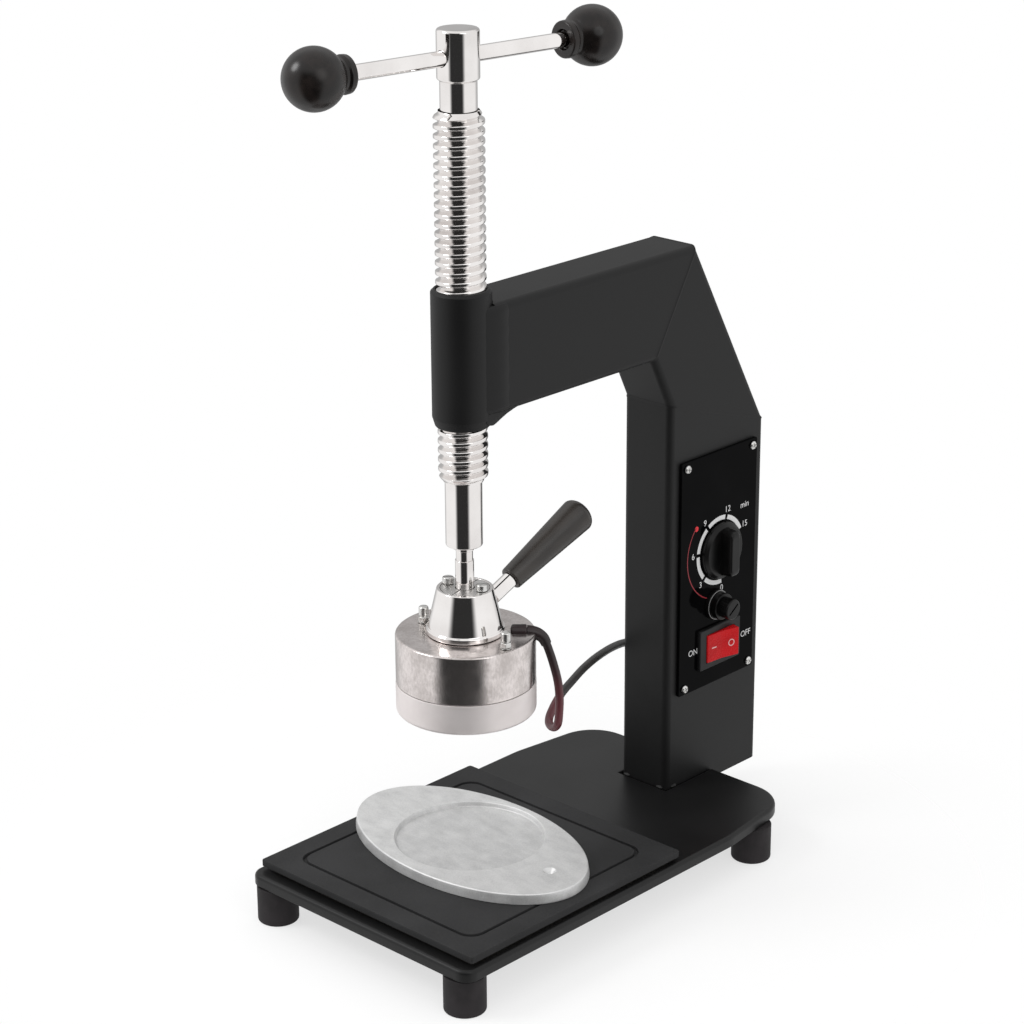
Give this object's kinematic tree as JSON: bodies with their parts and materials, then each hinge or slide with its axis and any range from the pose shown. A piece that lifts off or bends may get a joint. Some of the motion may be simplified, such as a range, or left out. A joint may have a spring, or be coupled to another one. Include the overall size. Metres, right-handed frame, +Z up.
{
  "type": "tire vulcanizer",
  "caption": "Bench tyre vulcanizer: a hand screw on a bent box-section column presses a round heating head on a grooved work plate; timer, fuse and rocker switch.",
  "frame": {"origin": "centre of the bounding box on the plane of the rubber feet", "axes": "+Z up along the press screw, the work plate toward -Y, the column toward +Y, the control panel facing +X"},
  "size_m": [0.2035, 0.4081, 0.5879],
  "materials": {
    "black_paint": "satin black powder coat",
    "matt_plate": "matt dark grey heat-proof coat",
    "black_rubber": "matt black rubber",
    "zinc_steel": "bright zinc plate",
    "bare_steel": "bare turned steel",
    "bronze": "turned bronze",
    "chrome": "polished chrome plate",
    "turned_aluminium": "turned aluminium",
    "cast_aluminium": "raw sand-cast aluminium",
    "bakelite": "dark gloss bakelite",
    "black_plastic": "satin black plastic",
    "gloss_panel": "gloss black enamel",
    "red_plastic": "translucent red plastic",
    "heat_board": "pressed mineral fibre board",
    "mica": "mica plate",
    "fuse_glass": "clear glass",
    "cable_sheath": "dark heat-proof sheath"
  },
  "bodies": {
    "stand": {"base_plate": "black_paint", "column": "black_paint", "shoulder": "black_paint", "arm": "black_paint", "screw_boss": "black_paint", "work_plate": "matt_plate", "work_plate_pad": "heat_board", "foot_front_left": "black_rubber", "foot_screw_front_left": "zinc_steel", "work_plate_screw_front_left": "zinc_steel", "foot_front_right": "black_rubber", "foot_screw_front_right": "zinc_steel", "work_plate_screw_front_right": "zinc_steel", "foot_rear_left": "black_rubber", "foot_screw_rear_left": "zinc_steel", "work_plate_screw_rear_left": "zinc_steel", "foot_rear_right": "black_rubber", "foot_screw_rear_right": "zinc_steel", "work_plate_screw_rear_right": "zinc_steel", "panel_screw_lower_front": "zinc_steel", "panel_screw_lower_rear": "zinc_steel", "panel_screw_upper_front": "zinc_steel", "panel_screw_upper_rear": "zinc_steel", "lead_gland": "black_rubber", "mains_gland": "black_rubber", "terminal_block": "bakelite", "control_panel": "gloss_panel", "timer_body": "bare_steel", "fuse_holder": "bakelite", "fuse_nut": "zinc_steel", "switch_body": "black_plastic"},
    "timer_knob": {"timer_knob": "bakelite"},
    "power_rocker": {"power_rocker": "red_plastic"},
    "fuse_cap": {"fuse_cap": "bakelite", "fuse_link": "fuse_glass"},
    "form_plate": {"form_plate": "cast_aluminium"},
    "thrust_pad": {"thrust_pad": "bronze", "heater_lead": "cable_sheath"},
    "press_screw": {"press_screw": "chrome"},
    "tommy_bar": {"tommy_bar": "chrome", "ball_knob_front": "bakelite", "ball_knob_rear": "bakelite"},
    "heating_head": {"cone_cap": "chrome", "cone_nut": "zinc_steel", "retainer_left": "bare_steel", "retainer_right": "bare_steel", "retainer_screw_left": "zinc_steel", "retainer_screw_right": "zinc_steel", "heater_shell": "chrome", "heating_plate": "turned_aluminium", "heating_element": "mica", "insulation_disc": "heat_board", "thermostat": "bare_steel", "clamp_bolt_left": "zinc_steel", "clamp_bolt_right": "zinc_steel", "handle_shank": "chrome", "handle_grip": "bakelite", "lead_grommet": "black_rubber"}
  },
  "joints": [
    {"name": "head_feed", "type": "slide", "parent": "stand", "child": "thrust_pad", "axis": [0, 0, 1], "range_m": [-0.098, 0.05], "deforming": ["heater_lead"]},
    {"name": "spindle_turn", "type": "hinge", "parent": "thrust_pad", "child": "press_screw", "pos_m": [0.00178, -0.08213, 0.3], "axis": [0, 0, 1], "range_deg": [-5878, 2998]},
    {"name": "bar_slide", "type": "slide", "parent": "press_screw", "child": "tommy_bar", "axis": [-0.1349, -0.9909, 0], "range_m": [-0.066, 0.066]},
    {"name": "head_swivel", "type": "hinge", "parent": "thrust_pad", "child": "heating_head", "pos_m": [0.00178, -0.08213, 0.2], "axis": [0, 0, 1], "range_deg": [-35, 35]},
    {"name": "timer_turn", "type": "hinge", "parent": "stand", "child": "timer_knob", "pos_m": [0.02513, 0.14417, 0.1985], "axis": [1, 0, 0], "range_deg": [-250, 0]},
    {"name": "rocker_tip", "type": "hinge", "parent": "stand", "child": "power_rocker", "pos_m": [0.02673, 0.14317, 0.1297], "axis": [0, 0, 1], "range_deg": [0, 20]},
    {"name": "fuse_cap_pull", "type": "slide", "parent": "stand", "child": "fuse_cap", "axis": [1, 0, 0], "range_m": [0, 0.035]},
    {"name": "form_plate_slide", "type": "slide", "parent": "stand", "child": "form_plate", "axis": [0, -1, 0], "range_m": [0, 0.18]}
  ],
  "couplings": [
    {"joint": "head_feed", "follows": "spindle_turn", "m_per_rad": 0.00095493}
  ]
}
